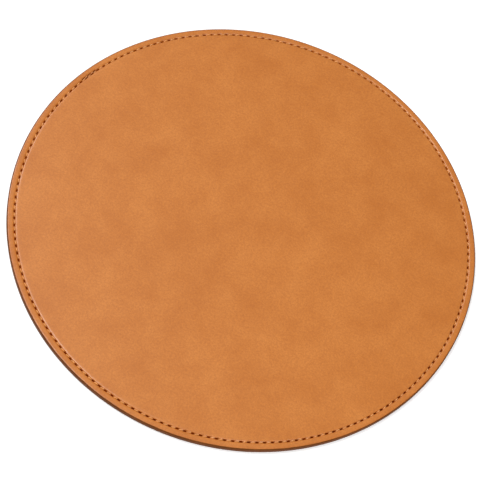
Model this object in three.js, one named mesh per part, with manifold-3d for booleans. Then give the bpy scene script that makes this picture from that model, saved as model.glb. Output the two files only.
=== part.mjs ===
// A round mouse pad: a coated leather facing and a suede backing, sewn together over a stiffener
// board and painted round the cut edge. Millimetres, +Z up, origin at the centre of the underside.
import * as THREE from "three";
import { mergeGeometries, mergeVertices } from "three/addons/utils/BufferGeometryUtils.js";
import Module from "manifold-3d";

const wasm = await Module();
wasm.setup();

// Sheets, from the top down
const padDiameter = 220; // over the painted edge
const facingThickness = 1.4; // over the board
const filmThickness = 0.1; // adhesive on each face of the board
const boardThickness = 0.3;
const backingThickness = 1.1; // under the board
const boardSetback = 1.5; // from the board's edge to the pressed seam line
const boardClearance = 0.3; // round the board in its recess

// Painted edge
const edgeBevel = 0.35; // on the outer corner of each sheet
const paintThickness = 0.25; // on the cut edge
const paintSetback = 0.05; // the paint stops this far short of each face
const marginWidth = 1.55; // flat leather between the bevel and the pressed seam line

// Lockstitch seam
const stitchLength = 3.6;
const threadDiameter = 0.45;
const threadSunk = 0.05; // the thread lies this far below the face
const slitLength = 1.2; // a needle slit, along the seam
const slitWeb = 0.15; // sheet left under a slit
const seamSlope = 0.6; // width of each pressed-down side of the seam line
const seamFloorEdge = 0.25; // flat floor on each side of a slit
const seatClearance = 0.05; // round the thread in its slit, and under the paint

// How finely the round forms are faceted
const longestFlat = 11;

// Levels
const bottomLevel = 0;
const backingTop = bottomLevel + backingThickness; // under the board
const boardUnderside = backingTop + filmThickness;
const boardTop = boardUnderside + boardThickness;
const facingUnderside = boardTop + filmThickness; // over the board
const topLevel = facingUnderside + facingThickness;
const joinLevel = (backingTop + facingUnderside) / 2; // where the two sheets meet outside the board

// Widths, from the edge inwards
const sheetRadius = padDiameter / 2 - paintThickness - seatClearance;
const slitWidth = threadDiameter + 2 * seatClearance;
const seamHalfFloor = slitWidth / 2 + seamFloorEdge;
const seamRadius = sheetRadius - edgeBevel - marginWidth - seamSlope - seamHalfFloor;
const boardRadius = seamRadius - seamHalfFloor - seamSlope - boardSetback;

// Stitches: the round forms have one flat for every few stitches, so that no slit crosses a corner
const stitchesPerFlat = Math.max(1, Math.floor(longestFlat / stitchLength));
const flatCount = Math.round((2 * Math.PI * seamRadius) / (stitchLength * stitchesPerFlat));
const stitchCount = flatCount * stitchesPerFlat;
const stitchAngle = (2 * Math.PI) / stitchCount;
const threadHeight = (threadDiameter * Math.sqrt(3)) / 2; // the thread's section is a triangle
const seamDepth = threadSunk + threadHeight + seatClearance;

// The two sheets: the facing's outer face is up, the backing's is down, and the board lies on their beds
const facing = { outward: 1, face: topLevel, bed: facingUnderside };
const backing = { outward: -1, face: bottomLevel, bed: backingTop };

// Colours and roughness
const leather = { color: 0xcb7e43, roughness: 0.6 };
const suede = { color: 0x8a5a38, roughness: 0.95 };
const film = { color: 0xe6d9b8, roughness: 0.4 };
const fibreboard = { color: 0x9a8467, roughness: 0.9 };
const thread = { color: 0xb8733c, roughness: 0.7 };
const paint = { color: 0x6c452e, roughness: 0.45 };

// A closed profile of [radius, height] points, turned round the Z axis.
function revolved(points) {
  const profile = points.map(([radius, height]) => new THREE.Vector2(radius, height));
  return new THREE.LatheGeometry(profile, flatCount).rotateX(Math.PI / 2);
}

// A plain disc between two levels.
function disc(radius, underside, top) {
  return revolved([
    [0, underside],
    [radius, underside],
    [radius, top],
    [0, top],
  ]);
}

// A closed surface as a solid that can be cut.
function solidFrom(geometry) {
  const bare = geometry.clone();
  bare.deleteAttribute("normal");
  bare.deleteAttribute("uv");
  const merged = mergeVertices(bare);
  return new wasm.Manifold(
    new wasm.Mesh({
      numProp: 3,
      vertProperties: merged.attributes.position.array,
      triVerts: new Uint32Array(merged.index.array),
    }),
  );
}

// A cut solid as a geometry again.
function geometryFrom(solid) {
  const { vertProperties, triVerts } = solid.getMesh();
  const geometry = new THREE.BufferGeometry();
  geometry.setAttribute("position", new THREE.BufferAttribute(vertProperties, 3));
  geometry.setIndex(new THREE.BufferAttribute(triVerts, 1));
  geometry.computeVertexNormals();
  return geometry;
}

// Where a needle goes through, as an angle round the pad: half a stitch in from each corner.
function slitAngle(stitch) {
  return (stitch + 0.5) * stitchAngle - Math.PI / 2;
}

// How deep a slit runs into a sheet from the floor of the pressed seam line.
function slitDepth({ outward, face }) {
  return outward * (face - joinLevel) - seamDepth - slitWeb;
}

// The wedges that a leather needle leaves all along the seam of one sheet.
function needleWedges(sheet) {
  const depth = slitDepth(sheet);
  const outline = new THREE.Shape([
    new THREE.Vector2(-slitLength / 2, seatClearance),
    new THREE.Vector2(-slitLength / 2, 0),
    new THREE.Vector2(0, -depth),
    new THREE.Vector2(slitLength / 2, 0),
    new THREE.Vector2(slitLength / 2, seatClearance),
  ]);
  const wedge = new THREE.ExtrudeGeometry(outline, { depth: slitWidth, bevelEnabled: false });
  wedge.translate(0, 0, -slitWidth / 2);
  const up = new THREE.Vector3(0, 0, sheet.outward);
  const floor = sheet.face - sheet.outward * seamDepth;
  const wedges = Array.from({ length: stitchCount }, (_, stitch) => {
    const angle = slitAngle(stitch);
    const across = new THREE.Vector3(Math.cos(angle), Math.sin(angle), 0);
    const along = new THREE.Vector3().crossVectors(up, across);
    const place = new THREE.Matrix4().makeBasis(along, up, across);
    place.setPosition(seamRadius * across.x, seamRadius * across.y, floor);
    return wedge.clone().applyMatrix4(place);
  });
  return mergeGeometries(wedges);
}

// A sheet with a recess for the board, a bevelled edge and a pressed seam line full of needle slits.
function sewnSheet(sheet) {
  const { outward, face, bed } = sheet;
  const seamFloor = face - outward * seamDepth;
  const profile = [
    [0, bed],
    [boardRadius + boardClearance, bed],
    [boardRadius + boardClearance, joinLevel],
    [sheetRadius, joinLevel],
    [sheetRadius, face - outward * edgeBevel],
    [sheetRadius - edgeBevel, face],
    [seamRadius + seamHalfFloor + seamSlope, face],
    [seamRadius + seamHalfFloor, seamFloor],
    [seamRadius - seamHalfFloor, seamFloor],
    [seamRadius - seamHalfFloor - seamSlope, face],
    [0, face],
  ];
  const plain = revolved(outward > 0 ? profile : profile.reverse());
  return geometryFrom(solidFrom(plain).subtract(solidFrom(needleWedges(sheet))));
}

// One thread, closed on itself: it lies along the seam line and dives into every slit.
function sewnThread(sheet) {
  const { outward, face } = sheet;
  const lying = face - outward * (seamDepth - seatClearance);
  const diving = lying - outward * (slitDepth(sheet) - seatClearance);
  const reach = slitLength / 2 - seatClearance;
  const stations = [
    { along: -reach, seat: lying },
    { along: 0, seat: diving },
    { along: reach, seat: lying },
  ];
  const corners = [
    { across: -threadDiameter / 2, rise: 0 },
    { across: 0, rise: threadHeight },
    { across: threadDiameter / 2, rise: 0 },
  ];
  const points = [];
  for (let stitch = 0; stitch < stitchCount; stitch += 1) {
    for (const { along, seat } of stations) {
      const angle = slitAngle(stitch) + along / seamRadius;
      for (const { across, rise } of corners) {
        const radius = seamRadius + across;
        points.push(radius * Math.cos(angle), radius * Math.sin(angle), seat + outward * rise);
      }
    }
  }
  const ringCount = stitchCount * stations.length;
  const faces = [];
  for (let ring = 0; ring < ringCount; ring += 1) {
    const here = ring * corners.length;
    const next = ((ring + 1) % ringCount) * corners.length;
    for (let corner = 0; corner < corners.length; corner += 1) {
      const turn = (corner - outward + corners.length) % corners.length;
      faces.push(here + corner, next + corner, next + turn);
      faces.push(here + corner, next + turn, here + turn);
    }
  }
  const geometry = new THREE.BufferGeometry();
  geometry.setAttribute("position", new THREE.Float32BufferAttribute(points, 3));
  geometry.setIndex(faces);
  geometry.computeVertexNormals();
  return geometry;
}

// The paint on the cut edge: rounded outside, fitted to the bevelled sheets inside.
function paintedEdge() {
  const padRadius = padDiameter / 2;
  const coat = sheetRadius + seatClearance;
  const lipRadius = coat - edgeBevel + paintSetback;
  const top = topLevel - paintSetback;
  const bottom = bottomLevel + paintSetback;
  const section = new THREE.Path();
  section.moveTo(lipRadius, bottom);
  section.quadraticCurveTo(padRadius, bottom, padRadius, bottomLevel + edgeBevel);
  section.lineTo(padRadius, topLevel - edgeBevel);
  section.quadraticCurveTo(padRadius, top, lipRadius, top);
  section.lineTo(coat, topLevel - edgeBevel);
  section.lineTo(coat, bottomLevel + edgeBevel);
  section.lineTo(lipRadius, bottom);
  const stepsPerCurve = 2;
  return revolved(section.getPoints(stepsPerCurve).map(({ x, y }) => [x, y]));
}

// The parts, from the top down
const pad = new THREE.Group();

function addPart(name, geometry, finish) {
  const mesh = new THREE.Mesh(geometry, new THREE.MeshStandardMaterial({ ...finish, metalness: 0 }));
  mesh.name = name;
  pad.add(mesh);
}

addPart("needle_thread", sewnThread(facing), thread);
addPart("facing_leather", sewnSheet(facing), leather);
addPart("upper_bond_film", disc(boardRadius, boardTop, facingUnderside), film);
addPart("stiffener_board", disc(boardRadius, boardUnderside, boardTop), fibreboard);
addPart("lower_bond_film", disc(boardRadius, backingTop, boardUnderside), film);
addPart("backing_suede", sewnSheet(backing), suede);
addPart("bobbin_thread", sewnThread(backing), thread);
addPart("edge_paint", paintedEdge(), paint);

export default pad;
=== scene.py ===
"""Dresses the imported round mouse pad: two sheets sewn over a board, with a painted edge.

Sizes are in millimetres until a mesh is made, and every mesh is in metres in the frame of the CAD
model: +Z up, the origin at the centre of the underside.
"""

from __future__ import annotations

import logging
import math
import random
from abc import ABC, abstractmethod
from dataclasses import dataclass
from enum import Enum

import bmesh
import bpy
import numpy as np
from mathutils import Matrix, Vector


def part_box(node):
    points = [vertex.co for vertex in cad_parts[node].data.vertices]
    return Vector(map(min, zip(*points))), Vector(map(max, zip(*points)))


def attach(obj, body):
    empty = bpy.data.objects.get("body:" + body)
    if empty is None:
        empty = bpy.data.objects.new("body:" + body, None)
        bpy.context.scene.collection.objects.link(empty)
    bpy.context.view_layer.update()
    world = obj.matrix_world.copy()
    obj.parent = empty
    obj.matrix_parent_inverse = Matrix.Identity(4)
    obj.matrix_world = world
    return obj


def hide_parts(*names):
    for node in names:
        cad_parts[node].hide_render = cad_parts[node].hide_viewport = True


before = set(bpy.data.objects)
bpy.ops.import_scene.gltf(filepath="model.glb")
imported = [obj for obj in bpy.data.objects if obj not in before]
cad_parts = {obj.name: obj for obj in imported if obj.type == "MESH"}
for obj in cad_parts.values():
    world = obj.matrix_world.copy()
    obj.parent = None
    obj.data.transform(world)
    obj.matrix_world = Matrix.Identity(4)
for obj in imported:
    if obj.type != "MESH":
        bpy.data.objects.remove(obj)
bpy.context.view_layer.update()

LOG = logging.getLogger("mouse_pad")
MM = 0.001
NEAR = 0.01  # points closer than this, in millimetres, are one point
SMOOTH_ANGLE = math.radians(60)  # an edge that turns further than this stays sharp
WHITE, BLACK = 0xFFFFFF, 0x000000
BODY = "root"

Socket = bpy.types.NodeSocket
Sockets = dict[str | int, object]
Section = list[tuple[float, float]]


def levels(node: str) -> tuple[float, float]:
    """Returns the levels of a CAD node's underside and top, in millimetres to a thousandth."""
    return tuple(round(corner[2] / MM, 3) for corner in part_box(node))


def radius_of(node: str) -> float:
    """Returns the radius of a round CAD node, which has a corner on the Y axis, in millimetres."""
    return round(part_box(node)[1][1] / MM, 3)


# The sizes that the layers have in the CAD model
PAD_UNDERSIDE, JOIN = levels("backing_suede")  # the sheets meet at the join, outside the board
BACKING_TOP, BOARD_UNDERSIDE = levels("lower_bond_film")
BOARD_TOP, FACING_UNDERSIDE = levels("upper_bond_film")
PAD_TOP = levels("facing_leather")[1]
PAD_RADIUS = radius_of("edge_paint")
SHEET_RADIUS = radius_of("facing_leather")
BOARD_RADIUS = radius_of("stiffener_board")


class Side(Enum):
    """The side of the pad that a sheet or a thread shows on, as the direction that it faces."""

    TOP = 1
    UNDERSIDE = -1


# Mesh and material helpers


def linear(colour: int) -> tuple[float, float, float, float]:
    """Turns an sRGB colour into the linear one that a shader takes.

    Args:
        colour: The colour as a hex number, 0xRRGGBB.

    Returns:
        Linear red, green, blue and an alpha of 1.
    """
    parts = [((colour >> shift) & 0xFF) / 255 for shift in (16, 8, 0)]
    parts = [c / 12.92 if c <= 0.04045 else ((c + 0.055) / 1.055) ** 2.4 for c in parts]
    return (*parts, 1.0)


def add_node(
    tree: bpy.types.NodeTree,
    kind: str,
    sockets: Sockets | None = None,
    **settings: object,
) -> bpy.types.Node:
    """Adds one node with its settings, values and links.

    Args:
        tree: The node tree that gets the node.
        kind: The node's type, without the word ShaderNode.
        sockets: What goes into each input: a value, or another node's output to link.
        **settings: The node's own properties.

    Returns:
        The new node.
    """
    node = tree.nodes.new("ShaderNode" + kind)
    for name, value in settings.items():
        setattr(node, name, value)
    for name, value in (sockets or {}).items():
        if isinstance(value, Socket):
            tree.links.new(value, node.inputs[name])
        else:
            node.inputs[name].default_value = value
    return node


def deselect_all() -> None:
    """Leaves object mode with nothing selected."""
    if bpy.context.object and bpy.context.object.mode != "OBJECT":
        bpy.ops.object.mode_set(mode="OBJECT")
    bpy.ops.object.select_all(action="DESELECT")


def select_only(piece: bpy.types.Object) -> None:
    """Selects one piece alone and makes it the active one.

    Args:
        piece: The piece to select.
    """
    deselect_all()
    piece.select_set(True)
    bpy.context.view_layer.objects.active = piece


def spun(name: str, section: Section, slices: int, steps: int) -> bpy.types.Object:
    """Turns a closed section round the Z axis: one slice is spun, and copied all round.

    Args:
        name: The new piece's name.
        section: Radius and height of each corner, in millimetres, in order.
        slices: How many slices make the full turn.
        steps: How many steps each slice takes.

    Returns:
        The piece, closed and facing outwards.
    """
    deselect_all()
    bpy.ops.mesh.primitive_circle_add(vertices=len(section), radius=MM)
    piece = bpy.context.object
    piece.name = piece.data.name = name
    for vertex, (radius, height) in zip(piece.data.vertices, section):
        vertex.co = (radius * MM, 0, height * MM)
    slice_angle = math.tau / slices
    bpy.ops.object.mode_set(mode="EDIT")
    bpy.ops.mesh.select_all(action="SELECT")
    bpy.ops.mesh.spin(steps=steps, angle=slice_angle, center=(0, 0, 0), axis=(0, 0, 1))
    bpy.ops.object.mode_set(mode="OBJECT")
    bpy.ops.object.empty_add(rotation=(0, 0, slice_angle))
    turn = bpy.context.object
    select_only(piece)
    copies = piece.modifiers.new("all_round", "ARRAY")
    copies.count = slices
    copies.use_relative_offset = False
    copies.use_object_offset = True
    copies.offset_object = turn
    copies.use_merge_vertices = True
    copies.use_merge_vertices_cap = True
    copies.merge_threshold = NEAR * MM
    bpy.ops.object.modifier_apply(modifier=copies.name)
    bpy.data.objects.remove(turn)
    bpy.ops.object.mode_set(mode="EDIT")
    close_up()
    bpy.ops.object.mode_set(mode="OBJECT")
    return piece


def close_up() -> None:
    """Merges what the last operators left double and turns every face outwards, in edit mode."""
    bpy.ops.mesh.select_all(action="SELECT")
    bpy.ops.mesh.remove_doubles(threshold=NEAR * MM)
    bpy.ops.mesh.normals_make_consistent(inside=False)


def points_of(piece: bpy.types.Object) -> np.ndarray:
    """Reads the points of a piece's mesh.

    Args:
        piece: The piece, in object mode.

    Returns:
        The points in millimetres, one row each.
    """
    flat = np.empty(len(piece.data.vertices) * 3)
    piece.data.vertices.foreach_get("co", flat)
    return flat.reshape(-1, 3) / MM


def move_points(piece: bpy.types.Object, points: np.ndarray) -> None:
    """Puts the piece's points at new places, given in millimetres."""
    piece.data.vertices.foreach_set("co", (points * MM).ravel())
    piece.data.update()


def keep_value(piece: bpy.types.Object, name: str, values: np.ndarray) -> None:
    """Stores one number for each point of the piece, for its material to read."""
    attribute = piece.data.attributes.new(name, "FLOAT", "POINT")
    attribute.data.foreach_set("value", values.astype(np.float32))


def eased(share: np.ndarray) -> np.ndarray:
    """Returns shares that are held between 0 and 1 and leave both ends softly."""
    held = np.clip(share, 0, 1)
    return held * held * (3 - 2 * held)


def wander(angle: np.ndarray, waves: tuple[int, ...], reach: float, seed: int) -> np.ndarray:
    """Gives a line that runs round the pad the small unevenness of hand work.

    Args:
        angle: The angles round the pad.
        waves: How many waves of each kind there are in a full turn.
        reach: About how far the line strays, in millimetres.
        seed: What the start of each wave is drawn from.

    Returns:
        How far outside its place the line is at each angle, in millimetres.
    """
    draw = random.Random(seed)
    height = reach / 3  # the waves seldom meet, so that a third each adds up to about the reach
    return sum(height * np.sin(count * angle + draw.uniform(0, math.tau)) for count in waves)


# Finishes


class Finish(ABC):
    """A material, named for the real one, and how its surface was made."""

    name: str

    def material(self) -> bpy.types.Material:
        """Builds the material.

        Returns:
            The material, with its surface as its only shader.
        """
        material = bpy.data.materials.new(self.name)
        material.use_nodes = True
        tree = material.node_tree
        tree.nodes.clear()
        shader = add_node(tree, "BsdfPrincipled", self.surface(tree))
        add_node(tree, "OutputMaterial", {"Surface": shader.outputs[0]})
        return material

    @abstractmethod
    def surface(self, tree: bpy.types.NodeTree) -> Sockets:
        """Adds the nodes of the surface, and returns what goes into each input of the shader."""


@dataclass(frozen=True)
class CoatedLeather(Finish):
    """Tan coated leather: a matt waxed coat printed in faint clouds, over a finely embossed grain."""

    name: str = "tan_coated_leather"
    pale: int = 0xDA8735
    deep: int = 0xC8741F
    hollow: int = 0xA65614
    # the colour of the painted shade in the needle holes, the overlap's trough and near the cut edge
    pressed: int = 0x923200
    cloud_mm: float = 20
    grain_mm: float = 0.95
    pebble_mm: float = 0.65
    grain_depth_mm: float = 0.03
    roughness: float = 0.4
    coat_weight: float = 0.5
    coat_roughness: float = 0.24

    def surface(self, tree: bpy.types.NodeTree) -> Sockets:
        """Adds the nodes of the surface.

        Args:
            tree: The material's node tree.

        Returns:
            What goes into each input of the shader.
        """
        place = add_node(tree, "TexCoord").outputs["Object"]
        # The printed coat is faintly cloudy: soft patches some centimetres wide, broken by finer ones.
        clouds = add_node(
            tree,
            "TexNoise",
            {
                "Vector": place,
                "Scale": 1 / (self.cloud_mm * MM),
                "Detail": 6.0,
                "Roughness": 0.68,
                "Distortion": 0.25,
            },
        )
        light = add_node(
            tree, "MapRange", {"Value": clouds.outputs["Fac"], "From Min": 0.32, "From Max": 0.68}
        )
        cloudy = add_node(
            tree,
            "Mix",
            {0: light.outputs[0], 6: linear(self.deep), 7: linear(self.pale)},
            data_type="RGBA",
        )
        # The embossed grain is drawn a little coarser than the real one, so that it shows. Its
        # hollows hold more of the dye.
        grain = add_node(
            tree,
            "TexNoise",
            {"Vector": place, "Scale": 1 / (self.grain_mm * MM), "Detail": 2.0, "Roughness": 0.7},
        )
        bent = add_node(
            tree,
            "VectorMath",
            {0: grain.outputs["Color"], 1: (self.pebble_mm * MM,) * 3, 2: place},
            operation="MULTIPLY_ADD",
        )
        pebbles = add_node(
            tree,
            "TexVoronoi",
            {"Vector": bent.outputs[0], "Scale": 1 / (self.pebble_mm * MM)},
            feature="DISTANCE_TO_EDGE",
        )
        creases = add_node(
            tree,
            "MapRange",
            {"Value": pebbles.outputs["Distance"], "From Max": 0.15, "To Min": -0.2, "To Max": 0.0},
        )
        height = add_node(
            tree, "Math", {0: grain.outputs["Fac"], 1: creases.outputs[0]}, operation="ADD"
        )
        dyed = add_node(
            tree,
            "MapRange",
            {
                "Value": height.outputs[0],
                "From Min": 0.2,
                "From Max": 0.72,
                "To Min": 0.5,
                "To Max": 0.0,
            },
        )
        coat = add_node(
            tree,
            "Mix",
            {0: dyed.outputs[0], 6: cloudy.outputs[2], 7: linear(self.hollow)},
            data_type="RGBA",
        )
        # Painted shade: darker in the needle holes, in the overlap's trough and near the cut edge.
        pressed = add_node(tree, "Attribute", attribute_name="pressed")
        colour = add_node(
            tree,
            "Mix",
            {0: pressed.outputs["Fac"], 6: coat.outputs[2], 7: linear(self.pressed)},
            data_type="RGBA",
        )
        bump = add_node(
            tree,
            "Bump",
            {
                "Strength": 0.5,
                "Distance": self.grain_depth_mm * MM,
                "Height": height.outputs[0],
            },
        )
        # The same painted shade takes the gloss and the clear coat away there.
        gloss = add_node(
            tree,
            "Mix",
            {0: pressed.outputs["Fac"], 6: linear(WHITE), 7: linear(BLACK)},
            data_type="RGBA",
        )
        clear = add_node(
            tree,
            "MapRange",
            {"Value": pressed.outputs["Fac"], "To Min": self.coat_weight, "To Max": 0.0},
        )
        return {
            "Base Color": colour.outputs[2],
            "Roughness": self.roughness,
            "IOR": 1.5,
            "Specular Tint": gloss.outputs[2],
            "Coat Weight": clear.outputs[0],
            "Coat Roughness": self.coat_roughness,
            "Normal": bump.outputs["Normal"],
        }


@dataclass(frozen=True)
class Suede(Finish):
    """Split suede: a short nap whose lie is painted as shade, in soft darker and lighter strokes."""

    name: str = "brown_split_suede"
    nap: int = 0x8F5E3A
    # the colour of the nap's painted shade
    shaded_nap: int = 0x7C4E2E
    # the colour of the painted shade in the needle holes, the overlap's trough and near the cut edge
    pressed: int = 0x5A3720
    bloom: int = 0xC79A74  # of the nap's tips, seen from the side
    stroke_mm: float = 18
    tuft_mm: float = 2.4
    fibre_mm: float = 0.7
    fibre_depth_mm: float = 0.12

    def surface(self, tree: bpy.types.NodeTree) -> Sockets:
        """Adds the nodes of the surface.

        Args:
            tree: The material's node tree.

        Returns:
            What goes into each input of the shader.
        """
        place = add_node(tree, "TexCoord").outputs["Object"]
        # Painted shade of the nap's lie: soft strokes and tufts, darker and lighter.
        strokes = add_node(
            tree,
            "TexNoise",
            {"Vector": place, "Scale": 1 / (self.stroke_mm * MM), "Detail": 3.0, "Distortion": 1.2},
        )
        tufts = add_node(
            tree,
            "TexNoise",
            {"Vector": place, "Scale": 1 / (self.tuft_mm * MM), "Detail": 4.0, "Roughness": 0.65},
        )
        lie = add_node(
            tree, "Math", {0: strokes.outputs["Fac"], 1: tufts.outputs["Fac"]}, operation="ADD"
        )
        shaded_nap = add_node(
            tree, "MapRange", {"Value": lie.outputs[0], "From Min": 0.75, "From Max": 1.25}
        )
        napped = add_node(
            tree,
            "Mix",
            {0: shaded_nap.outputs[0], 6: linear(self.shaded_nap), 7: linear(self.nap)},
            data_type="RGBA",
        )
        # Painted shade: darker in the needle holes, in the overlap's trough and near the cut edge.
        pressed = add_node(tree, "Attribute", attribute_name="pressed")
        colour = add_node(
            tree,
            "Mix",
            {0: pressed.outputs["Fac"], 6: napped.outputs[2], 7: linear(self.pressed)},
            data_type="RGBA",
        )
        # The fibres are drawn as coarse as they need to show.
        fibres = add_node(
            tree,
            "TexNoise",
            {"Vector": place, "Scale": 1 / (self.fibre_mm * MM), "Detail": 6.0, "Roughness": 0.7},
        )
        bump = add_node(
            tree,
            "Bump",
            {
                "Strength": 0.6,
                "Distance": self.fibre_depth_mm * MM,
                "Height": fibres.outputs["Fac"],
            },
        )
        return {
            "Base Color": colour.outputs[2],
            "Roughness": 0.95,
            "Sheen Weight": 0.25,
            "Sheen Roughness": 0.5,
            "Sheen Tint": linear(self.bloom),
            "Normal": bump.outputs["Normal"],
        }


@dataclass(frozen=True)
class BondedThread(Finish):
    """Bonded polyester thread: three plies twisted together, with a faint waxy gloss."""

    name: str = "tan_bonded_thread"
    crest: int = 0xF6B474
    hollow: int = 0xD88E50
    # the colour of the painted shade where the thread lies deep in the groove and the holes
    pressed: int = 0x862C00
    plies: int = 3
    crests: int = 880  # of the twist, along the whole seam
    ply_depth_mm: float = 0.06

    def surface(self, tree: bpy.types.NodeTree) -> Sockets:
        """Adds the nodes of the surface.

        Args:
            tree: The material's node tree.

        Returns:
            What goes into each input of the shader.
        """
        length_and_turn = add_node(tree, "TexCoord").outputs["UV"]
        # The wave repeats every tenth of a full turn of its input, which sets the width of a band.
        band = math.tau / 10
        twist = add_node(
            tree,
            "Mapping",
            {"Vector": length_and_turn, "Scale": (self.crests * band, self.plies * band, 0)},
        )
        plies = add_node(
            tree,
            "TexWave",
            {"Vector": twist.outputs[0], "Scale": 1.0},
            wave_type="BANDS",
            bands_direction="DIAGONAL",
        )
        # Painted shade between the plies: the hollows are darker than the crests.
        twisted = add_node(
            tree,
            "Mix",
            {0: plies.outputs["Fac"], 6: linear(self.hollow), 7: linear(self.crest)},
            data_type="RGBA",
        )
        # Painted shade: the thread is darker where it lies deep in the groove and the holes.
        pressed = add_node(tree, "Attribute", attribute_name="pressed")
        colour = add_node(
            tree,
            "Mix",
            {0: pressed.outputs["Fac"], 6: twisted.outputs[2], 7: linear(self.pressed)},
            data_type="RGBA",
        )
        bump = add_node(
            tree,
            "Bump",
            {"Strength": 0.7, "Distance": self.ply_depth_mm * MM, "Height": plies.outputs["Fac"]},
        )
        # The same painted shade takes the thread's gloss away in the holes.
        gloss = add_node(
            tree,
            "Mix",
            {0: pressed.outputs["Fac"], 6: linear(WHITE), 7: linear(BLACK)},
            data_type="RGBA",
        )
        return {
            "Base Color": colour.outputs[2],
            "Roughness": 0.5,
            "Specular IOR Level": 0.3,
            "Specular Tint": gloss.outputs[2],
            "Normal": bump.outputs["Normal"],
        }


@dataclass(frozen=True)
class EdgePaint(Finish):
    """Acrylic edge paint: rolled on in two coats, so it is smooth, satin and slightly uneven."""

    name: str = "brown_acrylic_edge_paint"
    thick: int = 0x6B3A13
    thin: int = 0x77421A
    drift_mm: float = 9
    ripple_mm: float = 1.5
    ripple_depth_mm: float = 0.05

    def surface(self, tree: bpy.types.NodeTree) -> Sockets:
        """Adds the nodes of the surface.

        Args:
            tree: The material's node tree.

        Returns:
            What goes into each input of the shader.
        """
        place = add_node(tree, "TexCoord").outputs["Object"]
        drift = add_node(
            tree,
            "TexNoise",
            {"Vector": place, "Scale": 1 / (self.drift_mm * MM), "Detail": 3.0},
        )
        cover = add_node(
            tree, "MapRange", {"Value": drift.outputs["Fac"], "From Min": 0.35, "From Max": 0.65}
        )
        colour = add_node(
            tree,
            "Mix",
            {0: cover.outputs[0], 6: linear(self.thick), 7: linear(self.thin)},
            data_type="RGBA",
        )
        ripple = add_node(
            tree,
            "TexNoise",
            {"Vector": place, "Scale": 1 / (self.ripple_mm * MM), "Detail": 2.0},
        )
        bump = add_node(
            tree,
            "Bump",
            {
                "Strength": 0.4,
                "Distance": self.ripple_depth_mm * MM,
                "Height": ripple.outputs["Fac"],
            },
        )
        gloss = add_node(
            tree,
            "MapRange",
            {"Value": ripple.outputs["Fac"], "To Min": 0.38, "To Max": 0.52},
        )
        return {
            "Base Color": colour.outputs[2],
            "Roughness": gloss.outputs[0],
            "Specular IOR Level": 0.05,
            "Normal": bump.outputs["Normal"],
        }


@dataclass(frozen=True)
class Fibreboard(Finish):
    """Pressed leather-fibre board: short fibres in grey brown, calendered flat."""

    name: str = "grey_fibreboard"
    pulp: int = 0x9A8467
    fibre: int = 0x7D6950
    fibre_mm: float = 3.0
    fibre_depth_mm: float = 0.05

    def surface(self, tree: bpy.types.NodeTree) -> Sockets:
        """Adds the nodes of the surface.

        Args:
            tree: The material's node tree.

        Returns:
            What goes into each input of the shader.
        """
        place = add_node(tree, "TexCoord").outputs["Object"]
        fibres = add_node(
            tree,
            "TexNoise",
            {
                "Vector": place,
                "Scale": 1 / (self.fibre_mm * MM),
                "Detail": 8.0,
                "Roughness": 0.75,
                "Distortion": 2.0,
            },
        )
        colour = add_node(
            tree,
            "Mix",
            {0: fibres.outputs["Fac"], 6: linear(self.fibre), 7: linear(self.pulp)},
            data_type="RGBA",
        )
        bump = add_node(
            tree,
            "Bump",
            {
                "Strength": 0.3,
                "Distance": self.fibre_depth_mm * MM,
                "Height": fibres.outputs["Fac"],
            },
        )
        return {"Base Color": colour.outputs[2], "Roughness": 0.9, "Normal": bump.outputs["Normal"]}


@dataclass(frozen=True)
class BondFilm(Finish):
    """Hot-melt bond film: a milky layer that was rolled out hot, with fine flow marks."""

    name: str = "milky_bond_film"
    clear: int = 0xE6D9B8
    cloudy: int = 0xD3C39C
    flow_mm: float = 12

    def surface(self, tree: bpy.types.NodeTree) -> Sockets:
        """Adds the nodes of the surface.

        Args:
            tree: The material's node tree.

        Returns:
            What goes into each input of the shader.
        """
        place = add_node(tree, "TexCoord").outputs["Object"]
        flow = add_node(
            tree,
            "TexNoise",
            {"Vector": place, "Scale": 1 / (self.flow_mm * MM), "Detail": 3.0, "Distortion": 1.5},
        )
        colour = add_node(
            tree,
            "Mix",
            {0: flow.outputs["Fac"], 6: linear(self.clear), 7: linear(self.cloudy)},
            data_type="RGBA",
        )
        gloss = add_node(
            tree, "MapRange", {"Value": flow.outputs["Fac"], "To Min": 0.3, "To Max": 0.5}
        )
        return {"Base Color": colour.outputs[2], "Roughness": gloss.outputs[0]}


@dataclass(frozen=True)
class WhiteTable(Finish):
    """Matt white lacquer: it takes the pad's soft shadow, and is lifted to white where it is seen."""

    name: str = "white_table"
    white: int = 0xF6F6F6
    lift: float = 0.4  # how strongly it glows for the camera, without lighting the pad

    def surface(self, tree: bpy.types.NodeTree) -> Sockets:
        """Adds the nodes of the surface.

        Args:
            tree: The material's node tree.

        Returns:
            What goes into each input of the shader.
        """
        rays = add_node(tree, "LightPath")
        seen = add_node(
            tree,
            "Math",
            {0: rays.outputs["Is Camera Ray"], 1: rays.outputs["Is Glossy Ray"]},
            operation="MAXIMUM",
        )
        seen = add_node(
            tree,
            "Math",
            {0: seen.outputs[0], 1: rays.outputs["Is Transmission Ray"]},
            operation="MAXIMUM",
        )
        lift = add_node(tree, "Math", {0: seen.outputs[0], 1: self.lift}, operation="MULTIPLY")
        return {
            "Base Color": linear(self.white),
            "Roughness": 0.9,
            "Specular IOR Level": 0.0,
            "Emission Color": linear(WHITE),
            "Emission Strength": lift.outputs[0],
        }


# What every piece has


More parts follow.
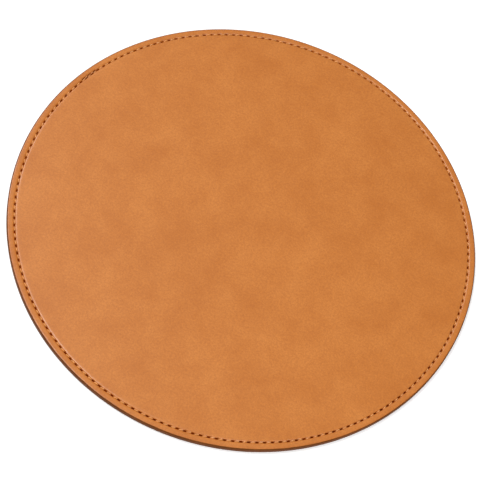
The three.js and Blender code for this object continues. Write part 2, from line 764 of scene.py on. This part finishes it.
@dataclass(frozen=True)
class Piece(ABC):
    """One piece of the pad: its name, the CAD node that it stands for, and what it is made of."""

    name: str
    node: str
    slot: str
    material: bpy.types.Material

    @abstractmethod
    def build(self) -> bpy.types.Object:
        """Builds the piece's mesh, closed and facing outwards."""

    def dress(self, piece: bpy.types.Object) -> None:
        """Shades the piece, gives it its material and puts it in the place of its CAD node.

        Args:
            piece: The piece as it was built.
        """
        select_only(piece)
        bpy.ops.object.shade_smooth_by_angle(angle=SMOOTH_ANGLE)
        piece.data.materials.clear()
        piece.data.materials.append(self.material)
        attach(piece, BODY)
        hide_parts(self.node)


# The seam


@dataclass(frozen=True)
class Seam:
    """The lockstitch seam seen from above: where each needle hole is, and how the line wanders.

    The holes lie where the CAD model has its slits, apart from a machinist's small unevenness. The
    last stitches overlap the first ones, out of step with them and a little further out.
    """

    radius: float = 106.6
    stitches: int = 186
    shift: tuple[float, float] = (-0.06, 0.23)  # of the seam ring from the middle of the pad
    spacing_wander: float = 0.07  # of a hole along the line
    line_wander: float = 0.05  # of the line to either side
    line_waves: tuple[int, ...] = (5, 9, 14, 23, 41)
    overlap_angle: float = math.radians(151)
    overlap_stitches: int = 2
    overlap_step: float = 0.42  # from a first hole to a second one, as a share of a stitch
    overlap_out: float = 0.4  # from the first line to the second one
    overlap_sink: float = 0.34  # how much deeper the two threads lie side by side
    seed: int = 11

    @property
    def pitch(self) -> float:
        """The angle of one stitch."""
        return math.tau / self.stitches

    @property
    def overlap(self) -> range:
        """The stitches that are sewn twice."""
        first = round(self.overlap_angle / self.pitch) - self.overlap_stitches // 2
        return range(first, first + self.overlap_stitches)

    def hole_angles(self) -> np.ndarray:
        """Places the needle holes.

        Returns:
            The angle of each hole, and of the first one again after a full turn.
        """
        draw = random.Random(self.seed)
        stray = self.spacing_wander / self.radius
        holes = [index * self.pitch + draw.uniform(-stray, stray) for index in range(self.stitches)]
        return np.array([*holes, holes[0] + math.tau])

    def sewn_twice(self, stitch: np.ndarray) -> np.ndarray:
        """Finds the places where the seam is sewn twice.

        Args:
            stitch: The places, counted in stitches from the first hole.

        Returns:
            A share for each place: 1 in the overlap and 0 outside it, with soft ends.
        """
        past = stitch - self.overlap.start
        left = len(self.overlap) + 2 * self.overlap_step - past
        return eased(np.minimum(past, left) / self.overlap_step)

    def offset(self, angle: np.ndarray) -> np.ndarray:
        """Works out where the seam line runs.

        Args:
            angle: The angles round the pad.

        Returns:
            How far outside its mean radius the line is at each angle, in millimetres.
        """
        off_centre = self.shift[0] * np.cos(angle) + self.shift[1] * np.sin(angle)
        return off_centre + wander(angle, self.line_waves, self.line_wander, self.seed + 1)


@dataclass(frozen=True)
class Dent:
    """One form pressed into a sheet, in millimetres: its depth, and how far it reaches.

    A steepness of 2 gives a soft dish, and one of 4 a flat floor between steep sides.
    """

    depth: float
    across: float
    along: float = math.inf
    steepness: float = 2

    def at(self, across: np.ndarray, along: np.ndarray) -> np.ndarray:
        """Works out how deep the dent is.

        Args:
            across: The distances from its middle across the seam.
            along: The distances from its middle along the seam.

        Returns:
            The depth at each place.
        """
        fall = np.abs(across / self.across) ** self.steepness
        fall = fall + np.abs(along / self.along) ** self.steepness
        return self.depth * np.exp(-fall)


@dataclass(frozen=True)
class Pressing:
    """How the stitches press a sheet down: all along the seam line, and more at each hole.

    Inside a hole the sheet is painted with shade, and so is the trough in which the threads of the
    overlap lie.
    """

    line: tuple[Dent, ...]
    pull: Dent
    cut: tuple[Dent, ...]
    lean: float  # how far inwards a hole runs for each millimetre down
    # where a hole is painted with shade: its reach across and along
    painted_shade: Dent = Dent(1.0, 1.0, 0.7, steepness=4)
    shade_from: float = 0.12  # the painted shade starts this deep in a hole
    shade_over: float = 0.2  # and is full so much deeper
    trough_width: float = 0.55
    trough_shade: float = 2  # for each millimetre of the trough's depth

    def line_depth(self, across: np.ndarray, along: np.ndarray) -> np.ndarray:
        """Returns how deep the pressed line is, at distances from the middle of a hole."""
        return sum(dent.at(across, along) for dent in (*self.line, self.pull))

    def cut_depth(self, across: np.ndarray, along: np.ndarray) -> np.ndarray:
        """Returns how much deeper the needle hole is, at distances from its middle."""
        return sum(dent.at(across, along) for dent in self.cut)


# The sheets


@dataclass(frozen=True)
class SewnSheet(Piece):
    """One sheet of the pad: a disc with a bed for the board, pressed down along the seam."""

    side: Side
    face: float
    bed: float
    rests_on: str
    pressing: Pressing
    join: float = JOIN
    seam: Seam = Seam()
    radius: float = SHEET_RADIUS
    dome_width: float = 0.6  # of the rounded margin
    dome_drop: float = 0.22
    dome_corners: int = 9
    # painted shade that darkens the margin towards the cut edge and dims its gloss
    edge_shade: float = 0.2  # how dark the cut edge is, from 0 to 1
    edge_shade_width: float = 1.2
    web: float = 0.15  # what is left of the sheet under the deepest hole
    hold_width: float = 2.5  # the sheet follows the seam line's offset this far to either side
    hold_fade: float = 1.1  # and less and less over the last of that
    bed_radius: float = 104.25
    bed_slope: float = 0.7
    middle_radius: float = 102.0  # the pressed band starts here
    grid_radius: float = 99.0  # and the plain grid ends here
    grid_points: int = 248  # round the grid's edge
    # Where the columns of points stand along a stitch, as shares of it: close together at the holes.
    columns: tuple[float, ...] = (0, 0.05, 0.105, 0.195, 0.33, 0.5, 0.67, 0.805, 0.895, 0.95)
    # How far the rings of points stand from the seam line, on both sides as far as there is room.
    rings: tuple[float, ...] = (0.08, 0.15, 0.21, 0.28, 0.37, 0.5, 0.68, 0.92, 1.22, 1.6, 2.0, 2.6, 3.4)
    ring_room: float = 0.05  # between the last ring and the dome

    @property
    def flat_area(self) -> float:
        """The area that the sheet was cut to, in square metres."""
        return math.pi * (self.radius * MM) ** 2

    def section(self) -> Section:
        """Draws the sheet's section outside its middle.

        Returns:
            The radius and height of each corner, in order.
        """
        start = self.seam.radius
        dome_start = self.radius - self.dome_width
        last_ring = dome_start - self.ring_room
        radii = [self.middle_radius, *(start - ring for ring in reversed(self.rings)), start]
        radii += [start + ring for ring in self.rings if start + ring < last_ring]
        corners = [(radius, self.face) for radius in radii]
        for turn in np.linspace(0, math.pi / 2, self.dome_corners):
            drop = self.dome_drop * (1 - math.cos(turn))
            height = self.face - self.side.value * drop
            corners.append((dome_start + self.dome_width * math.sin(turn), height))
        corners += [
            (self.radius, self.join),
            (self.bed_radius + 2 * self.bed_slope, self.join),
            (self.bed_radius + self.bed_slope, self.join),
            (self.bed_radius + self.bed_slope / 2, (self.join + self.bed) / 2),
            (self.bed_radius, self.bed),
            (self.middle_radius, self.bed),
        ]
        return corners

    def build(self) -> bpy.types.Object:
        """Builds the sheet.

        Returns:
            The sheet, closed, with the number "pressed", the share of painted shade, at each point.
        """
        piece = spun(self.name, self.section(), self.seam.stitches, len(self.columns))
        self.fill_middle(piece)
        self.press(piece)
        return piece

    def fill_middle(self, piece: bpy.types.Object) -> None:
        """Takes out the wall that the section left inside, and fills both faces with a grid.

        Args:
            piece: The sheet as it was spun, with a hole in its middle.
        """
        bpy.ops.object.mode_set(mode="EDIT")
        bpy.ops.mesh.select_mode(type="FACE")
        self.select(piece, self.middle_radius, None, faces=True)
        bpy.ops.mesh.delete(type="FACE")
        bpy.ops.mesh.select_mode(type="EDGE")
        lift = self.grid_radius  # the grid is made well above its place, so that the bridge is plain
        for level in (self.face, self.bed):
            bpy.ops.mesh.select_all(action="DESELECT")
            bpy.ops.mesh.primitive_circle_add(
                vertices=self.grid_points,
                radius=self.grid_radius * MM,
                location=(0, 0, (level + lift) * MM),
            )
            self.select(piece, self.middle_radius, level, add=True)
            bpy.ops.mesh.bridge_edge_loops()
            self.select(piece, self.grid_radius, level + lift)
            bpy.ops.mesh.fill_grid(span=self.grid_points // 4)
            bpy.ops.transform.translate(value=(0, 0, -lift * MM))
        close_up()
        bpy.ops.object.mode_set(mode="OBJECT")

    def select(
        self,
        piece: bpy.types.Object,
        radius: float,
        level: float | None,
        faces: bool = False,
        add: bool = False,
    ) -> None:
        """Selects the edges or faces all of whose points lie on one circle or cylinder.

        Args:
            piece: The piece in edit mode.
            radius: The radius that the points have, in millimetres.
            level: The height that they have, or None for any height.
            faces: Whether faces are selected and not edges.
            add: Whether the selection is added to the last one.
        """
        if not add:
            bpy.ops.mesh.select_all(action="DESELECT")
        mesh = bmesh.from_edit_mesh(piece.data)
        for part in mesh.faces if faces else mesh.edges:
            if all(
                abs(math.hypot(vertex.co.x, vertex.co.y) / MM - radius) < NEAR
                and (level is None or abs(vertex.co.z / MM - level) < NEAR)
                for vertex in part.verts
            ):
                part.select_set(True)
        bmesh.update_edit_mesh(piece.data)

    def stations(self, angle: np.ndarray) -> tuple[np.ndarray, np.ndarray]:
        """Finds the stitch that each point belongs to.

        Args:
            angle: The angles of the points, as they were spun.

        Returns:
            The number of each point's stitch, and how far along it the point stands, as a share.
        """
        per_stitch = len(self.columns)
        column = np.rint(angle / self.seam.pitch * per_stitch).astype(int)
        stitch, place = (column // per_stitch) % self.seam.stitches, column % per_stitch
        # In the overlap there are holes all along a stitch, so the columns stay evenly spaced.
        doubled = np.isin(stitch, [*self.seam.overlap, self.seam.overlap.stop])
        return stitch, np.where(doubled, place / per_stitch, np.array(self.columns)[place])

    def stitched(
        self, across: np.ndarray, stitch: np.ndarray, share: np.ndarray, length: np.ndarray
    ) -> tuple[np.ndarray, np.ndarray, np.ndarray]:
        """Works out what the stitches do to the sheet's face.

        Args:
            across: How far outside the seam line each point is.
            stitch: The number of its stitch.
            share: How far along that stitch it stands, as a share.
            length: The length of that stitch.

        Returns:
            The depth of the pressed line, how much deeper the hole is, and how dark its painted shade
            is.
        """
        seam, pressing = self.seam, self.pressing
        along = np.minimum(share, 1 - share) * length
        step = np.abs(share - seam.overlap_step)
        again = np.minimum(step, 1 - step) * length
        beside = across - seam.overlap_out
        twice = seam.sewn_twice(stitch + share)
        line, cut, painted_shade = (
            np.maximum(depth(across, along), twice * depth(beside, again))
            for depth in (pressing.line_depth, pressing.cut_depth, pressing.painted_shade.at)
        )
        both_threads = Dent(seam.overlap_sink, pressing.trough_width, steepness=4)
        trough = twice * both_threads.at(across - seam.overlap_out / 2, along)
        # The painted shade reaches only into the deep part of a hole; the trough adds more.
        painted_shade *= np.clip((cut - pressing.shade_from) / pressing.shade_over, 0, 1)
        return line + trough, cut, painted_shade + pressing.trough_shade * trough

    def press(self, piece: bpy.types.Object) -> None:
        """Moves the points to the stitches and presses the seam line into the sheet's face.

        Args:
            piece: The sheet, closed and still flat.
        """
        points = points_of(piece)
        radius = np.hypot(points[:, 0], points[:, 1])
        angle = np.arctan2(points[:, 1], points[:, 0]) % math.tau
        across = radius - self.seam.radius
        stitch, share = self.stations(angle)
        holes = self.seam.hole_angles()
        gap = holes[stitch + 1] - holes[stitch]
        depths = self.stitched(across, stitch, share, gap * self.seam.radius)

        band = radius > self.middle_radius - NEAR
        up = self.side.value
        on_face = band & (up * (self.face - points[:, 2]) < self.dome_drop / 2)
        line, cut, painted_shade = (depth * on_face for depth in depths)
        # Painted shade: darker in the holes and the trough, and towards the cut edge.
        edge = np.clip(1 - (self.radius - radius) / self.edge_shade_width, 0, 1)
        keep_value(piece, "pressed", np.clip(np.maximum(painted_shade, self.edge_shade * edge), 0, 1))

        angle = np.where(band, holes[stitch] + share * gap, angle)
        hold = band * eased((self.hold_width - np.abs(across)) / self.hold_fade)
        radius = radius + hold * self.seam.offset(angle) - self.pressing.lean * cut
        points[:, 0] = radius * np.cos(angle)
        points[:, 1] = radius * np.sin(angle)
        points[:, 2] -= up * np.minimum(line + cut, abs(self.face - self.join) - self.web)
        move_points(piece, points)

    def dress(self, piece: bpy.types.Object) -> None:
        """Dresses the sheet as every other piece is dressed.

        Args:
            piece: The sheet as it was built.
        """
        super().dress(piece)


# The threads


@dataclass(frozen=True)
class SewnThread(Piece):
    """The thread on one side of the seam: it lies in the pressed line and dives into every hole."""

    side: Side
    face: float
    dive: float  # how deep the thread goes into a hole
    seam: Seam = Seam()
    diameter: float = 0.4
    slant: float = 0.2  # a stitch starts this far outside the seam line and ends as far inside it
    pulled_in: float = 0.2  # a hole takes the thread this far inside the line
    reach: float = 1.3  # from the middle of a hole to where the thread lies flat
    steepness: float = 2.0  # how soon the thread rises out of a hole: a higher number is later
    # the thread's painted shade, where it lies deep in the groove and the holes:
    dark_from: float = 0.34  # the thread darkens from this depth on
    dark_over: float = 0.34  # and is darkest so much deeper
    # How far past a hole the points of half a stitch lie, as shares of the reach.
    stops: tuple[float, ...] = (0.2, 0.38, 0.56, 0.76, 1.0)

    def route(self, holes: np.ndarray, doubled: range, out: float) -> np.ndarray:
        """Lists the points that the thread follows through a row of holes.

        Args:
            holes: The angle of each hole, in order.
            doubled: The stitches that lie beside others, and so deeper.
            out: How far outside the seam line the row lies.

        Returns:
            The points, in millimetres, from the first hole to just before the last.
        """
        reach = self.reach / self.seam.radius
        angle, across, depth = [], [], []
        for stitch, (here, there) in enumerate(zip(holes, holes[1:])):
            sink = self.seam.overlap_sink if stitch in doubled else 0
            falling = [(here + stop * reach, stop) for stop in (0, *self.stops)]
            rising = [(there - stop * reach, stop) for stop in reversed(self.stops)]
            for place, stop in (*falling, ((here + there) / 2, 1), *rising):
                sunk = 1 - ((1 - math.cos(math.pi * stop)) / 2) ** self.steepness
                aside = math.cos(math.pi * (place - here) / (there - here)) * (1 - sunk)
                angle.append(place)
                across.append(self.slant * aside - self.pulled_in * sunk)
                depth.append(self.dive * sunk + sink * (1 - sunk))
        angle, across, depth = np.array(angle), np.array(across), np.array(depth)
        radius = self.seam.radius + self.seam.offset(angle) + across + out
        height = self.face - self.side.value * (self.diameter / 2 + depth)
        return np.stack([radius * np.cos(angle), radius * np.sin(angle), height], axis=1)

    def build(self) -> bpy.types.Object:
        """Builds the thread.

        Returns:
            The thread: one closed tube, and a short one for the overlap, with a UV map along them
            and the number "pressed", the share of painted shade, at each point.
        """
        holes = self.seam.hole_angles()
        doubled = self.seam.overlap
        again = slice(doubled.start, doubled.stop + 1)
        second = holes[again] + self.seam.overlap_step * np.diff(holes)[again]
        beside = self.route(second, range(len(doubled)), self.seam.overlap_out)
        overlap = self.tube(beside, closed=False)
        piece = self.tube(self.route(holes, doubled, 0), closed=True)
        overlap.select_set(True)
        bpy.ops.object.join()
        piece.name = piece.data.name = self.name
        # Painted shade: the deeper the thread lies, the darker it is.
        depth = self.side.value * (self.face - points_of(piece)[:, 2])
        keep_value(piece, "pressed", np.clip((depth - self.dark_from) / self.dark_over, 0, 1))
        return piece

    def tube(self, points: np.ndarray, closed: bool) -> bpy.types.Object:
        """Lays a round tube along a route.

        Args:
            points: The route's points, in millimetres.
            closed: Whether the route runs back into its start.

        Returns:
            The tube, selected, with a UV map that counts the full seam as one unit of length.
        """
        curve = bpy.data.curves.new(self.name, "CURVE")
        curve.dimensions = "3D"
        curve.bevel_depth = self.diameter / 2 * MM
        curve.bevel_resolution = 1
        curve.use_fill_caps = True
        spline = curve.splines.new("POLY")
        spline.points.add(len(points) - 1)
        places = np.concatenate([points * MM, np.ones((len(points), 1))], axis=1)
        spline.points.foreach_set("co", places.ravel())
        spline.use_cyclic_u = closed
        tube = bpy.data.objects.new(self.name, curve)
        bpy.context.collection.objects.link(tube)
        select_only(tube)
        bpy.ops.object.convert(target="MESH")
        tube = bpy.context.object
        points_per_stitch = 2 * len(self.stops) + 2
        share = len(points) / (points_per_stitch * self.seam.stitches)
        for corner in tube.data.uv_layers.active.uv:
            corner.vector.x *= share
        return tube


# The painted edge


@dataclass(frozen=True)
class PaintedEdge(Piece):
    """The paint on the cut edge: a rounded coat that laps a little over both faces."""

    radius: float = PAD_RADIUS
    thickness: float = PAD_TOP - PAD_UNDERSIDE
    lap: float = 0.65  # from the edge in to the lip on each face
    lap_drop: float = 0.05  # of the lip below the face
    round_out: float = 0.5  # height of the rounded shoulder
    shoulder_corners: int = 7
    coat: float = 0.22  # thickness on the cut edge
    slices: int = 186  # of the full turn
    steps: int = 5  # in each slice
    lip_shift: float = 0.08  # the lips lie this much further in at the far side
    lip_wander: float = 0.05
    lip_waves: tuple[int, ...] = (7, 17, 29, 53, 97)
    seed: int = 5

    def section(self) -> Section:
        """Draws the coat's section.

        Returns:
            The radius and height of each corner, in order.
        """
        lower = [
            (
                self.radius - self.lap + self.lap * math.sin(turn),
                self.lap_drop + self.round_out * (1 - math.cos(turn)),
            )
            for turn in np.linspace(0, math.pi / 2, self.shoulder_corners)
        ]
        upper = [(radius, self.thickness - height) for radius, height in reversed(lower)]
        middle = self.thickness / 2
        shoulder = self.lap_drop + self.round_out / 2
        levels = (self.thickness - shoulder, middle, shoulder)
        inside = [(self.radius - self.coat, level) for level in levels]
        return [*lower, (self.radius, middle), *upper, *inside]

    def build(self) -> bpy.types.Object:
        """Builds the coat.

        Returns:
            The coat, closed, with lips that wander as a roller leaves them.
        """
        piece = spun(self.name, self.section(), self.slices, self.steps)
        points = points_of(piece)
        radius = np.hypot(points[:, 0], points[:, 1])
        angle = np.arctan2(points[:, 1], points[:, 0])
        drift = wander(angle, self.lip_waves, self.lip_wander, self.seed)
        drift -= self.lip_shift * np.sin(angle)
        lip = np.clip((self.radius - self.coat - radius) / (self.lap - self.coat), 0, 1)
        grown = (radius + lip * drift) / radius
        points[:, 0] *= grown
        points[:, 1] *= grown
        move_points(piece, points)
        return piece


# The board and its bond films


@dataclass(frozen=True)
class CutDisc(Piece):
    """A disc that was punched out of sheet, with a slightly broken edge."""

    underside: float
    top: float
    radius: float = BOARD_RADIUS
    corners: int = 372
    broken_edge: float = 0.03
    broken_steps: int = 2
    rim: float = 2.0  # a ring of faces that keeps the shading of the flat ones clean

    def build(self) -> bpy.types.Object:
        """Builds the disc.

        Returns:
            The disc, closed.
        """
        deselect_all()
        bpy.ops.mesh.primitive_cylinder_add(
            vertices=self.corners,
            radius=self.radius * MM,
            depth=(self.top - self.underside) * MM,
            location=(0, 0, (self.top + self.underside) / 2 * MM),
        )
        piece = bpy.context.object
        piece.name = piece.data.name = self.name
        bpy.ops.object.transform_apply(location=True, rotation=True, scale=True)
        bpy.ops.object.mode_set(mode="EDIT")
        bpy.ops.mesh.select_mode(type="FACE")
        self.select_flats(piece)
        bpy.ops.mesh.bevel(
            offset=self.broken_edge * MM, segments=self.broken_steps, affect="EDGES"
        )
        self.select_flats(piece)
        bpy.ops.mesh.inset(thickness=self.rim * MM, use_individual=True)
        close_up()
        bpy.ops.object.mode_set(mode="OBJECT")
        return piece

    def select_flats(self, piece: bpy.types.Object) -> None:
        """Selects the top and the underside, the only faces with all of the disc's corners.

        Args:
            piece: The disc in edit mode.
        """
        bpy.ops.mesh.select_all(action="DESELECT")
        mesh = bmesh.from_edit_mesh(piece.data)
        for face in mesh.faces:
            face.select_set(len(face.verts) == self.corners)
        bmesh.update_edit_mesh(piece.data)


# The studio


@dataclass(frozen=True)
class SoftLamp:
    """A square soft light that looks at the middle of the pad, in metres and watts."""

    name: str
    place: tuple[float, float, float]
    width: float
    power: float
    colour: int = WHITE

    def build(self) -> None:
        """Adds the lamp."""
        deselect_all()
        bpy.ops.object.light_add(type="AREA", location=self.place)
        lamp = bpy.context.object
        lamp.name = lamp.data.name = self.name
        lamp.data.shape = "SQUARE"
        lamp.data.size = self.width
        lamp.data.energy = self.power
        lamp.data.color = linear(self.colour)[:3]
        lamp.rotation_euler = Vector(self.place).to_track_quat("Z", "Y").to_euler()


@dataclass(frozen=True)
class Viewpoint:
    """The camera, where it stood for the photograph: above and in front, turned on its axis."""

    elevation: float = 60.637  # in degrees, as the roll
    roll: float = 19.845
    distance: float = 1.0  # in metres, as the nearest that is drawn
    nearest: float = 0.01
    lens: float = 161.85
    sensor: float = 36
    aim: tuple[float, float, float] = (-0.37, -4.72, 0)

    def build(self) -> None:
        """Adds the camera and makes it the scene's."""
        rise, turn = math.radians(self.elevation), math.radians(self.roll)
        back = Vector((0, -math.cos(rise), math.sin(rise)))
        level = Vector((1, 0, 0))
        above = Vector((0, math.sin(rise), math.cos(rise)))
        right = level * math.cos(turn) + above * math.sin(turn)
        up = above * math.cos(turn) - level * math.sin(turn)
        deselect_all()
        bpy.ops.object.camera_add()
        camera = bpy.context.object
        camera.name = "photo_camera"
        camera.data.lens = self.lens
        camera.data.sensor_width = self.sensor
        camera.data.clip_start = self.nearest
        camera.matrix_world = Matrix((right, up, back)).transposed().to_4x4()
        camera.location = Vector(self.aim) * MM + back * self.distance
        bpy.context.scene.camera = camera


@dataclass(frozen=True)
class Studio:
    """A white table in soft light, in metres."""

    floor_width: float = 6.0
    floor_drop: float = 0.0002  # below the pad, so that the two faces don't coincide
    floor_finish: Finish = WhiteTable()
    sky: float = 0.34
    lamps: tuple[SoftLamp, ...] = (
        SoftLamp("key_softbox", (-0.46, 0.03, 1.22), 0.4, 6.6),
        SoftLamp("left_softbox", (-0.76, 0.6, 1.04), 0.5, 5.2),
        SoftLamp("right_softbox", (0.9, 0.5, 1.0), 0.7, 0.1),
        SoftLamp("front_softbox", (0.34, -0.55, 0.66), 0.5, 2.7),
    )

    def build(self) -> None:
        """Adds the table, the lamps and the sky."""
        deselect_all()
        bpy.ops.mesh.primitive_plane_add(size=self.floor_width, location=(0, 0, -self.floor_drop))
        floor = bpy.context.object
        floor.name = "table_top"
        bpy.ops.object.transform_apply(location=True, rotation=True, scale=True)
        floor.data.materials.append(self.floor_finish.material())
        for lamp in self.lamps:
            lamp.build()
        self.light_sky()

    def light_sky(self) -> None:
        """Lights the scene evenly from all sides."""
        world = bpy.data.worlds.new("white_studio")
        world.use_nodes = True
        tree = world.node_tree
        tree.nodes.clear()
        sky = add_node(tree, "Background", {"Color": linear(WHITE), "Strength": self.sky})
        add_node(tree, "OutputWorld", {"Surface": sky.outputs[0]})
        bpy.context.scene.world = world


# The pad


def mouse_pad() -> tuple[Piece, ...]:
    """Lists the pieces of the pad with their places and materials.

    Returns:
        The pieces, in the order in which they are built.
    """
    film = BondFilm().material()
    upper_film = CutDisc(
        name="upper_bond_film_layer",
        node="upper_bond_film",
        slot="bond_film",
        material=film,
        underside=BOARD_TOP,
        top=FACING_UNDERSIDE,
    )
    board = CutDisc(
        name="stiffener_board_disc",
        node="stiffener_board",
        slot="fibreboard",
        material=Fibreboard().material(),
        underside=BOARD_UNDERSIDE,
        top=BOARD_TOP,
    )
    lower_film = CutDisc(
        name="lower_bond_film_layer",
        node="lower_bond_film",
        slot="bond_film",
        material=film,
        underside=BACKING_TOP,
        top=BOARD_UNDERSIDE,
    )
    facing = SewnSheet(
        name="facing_leather_sheet",
        node="facing_leather",
        slot="coated_leather",
        material=CoatedLeather().material(),
        side=Side.TOP,
        face=PAD_TOP,
        bed=FACING_UNDERSIDE,
        rests_on=upper_film.name,
        pressing=Pressing(
            line=(Dent(0.05, 1.3), Dent(0.25, 0.5)),
            pull=Dent(0.16, 0.5, 1.0),
            cut=(Dent(0.5, 0.34, 0.98, steepness=4), Dent(0.5, 0.31, 0.78, steepness=4)),
            lean=0.3,
        ),
    )
    backing = SewnSheet(
        name="backing_suede_sheet",
        node="backing_suede",
        slot="suede",
        material=Suede().material(),
        side=Side.UNDERSIDE,
        face=PAD_UNDERSIDE,
        bed=BACKING_TOP,
        rests_on=lower_film.name,
        pressing=Pressing(
            line=(Dent(0.16, 0.9), Dent(0.16, 0.18, steepness=4)),
            pull=Dent(0.16, 0.8, 1.0),
            cut=(Dent(0.35, 0.24, 1.0, steepness=4), Dent(0.35, 0.2, 0.75, steepness=4)),
            lean=0.4,
        ),
    )
    needle_thread = SewnThread(
        name="needle_thread_stitches",
        node="needle_thread",
        slot="thread",
        material=BondedThread().material(),
        side=Side.TOP,
        face=PAD_TOP,
        dive=0.95,
    )
    # The bobbin thread is a little darker, and its painted shade in the holes is a dull brown.
    underside_thread_finish = BondedThread(
        name="bobbin_tan_bonded_thread", crest=0xE2A067, hollow=0xC07C45, pressed=0x4E2C16
    )
    bobbin_thread = SewnThread(
        name="bobbin_thread_stitches",
        node="bobbin_thread",
        slot="thread",
        material=underside_thread_finish.material(),
        side=Side.UNDERSIDE,
        face=PAD_UNDERSIDE,
        dive=0.85,
    )
    paint = PaintedEdge(
        name="edge_paint_coat",
        node="edge_paint",
        slot="edge_paint",
        material=EdgePaint().material(),
    )
    return upper_film, board, lower_film, facing, backing, needle_thread, bobbin_thread, paint


def main() -> None:
    """Builds the pad's pieces in order, then the studio round them."""
    logging.basicConfig(level=logging.INFO, format="%(name)s: %(message)s")
    bpy.context.scene.view_settings.view_transform = "Standard"
    Viewpoint().build()
    for piece in mouse_pad():
        built = piece.build()
        piece.dress(built)
        LOG.info("%s: %d faces in %s", built.name, len(built.data.polygons), piece.material.name)
    Studio().build()


if __name__ == "__main__":
    main()
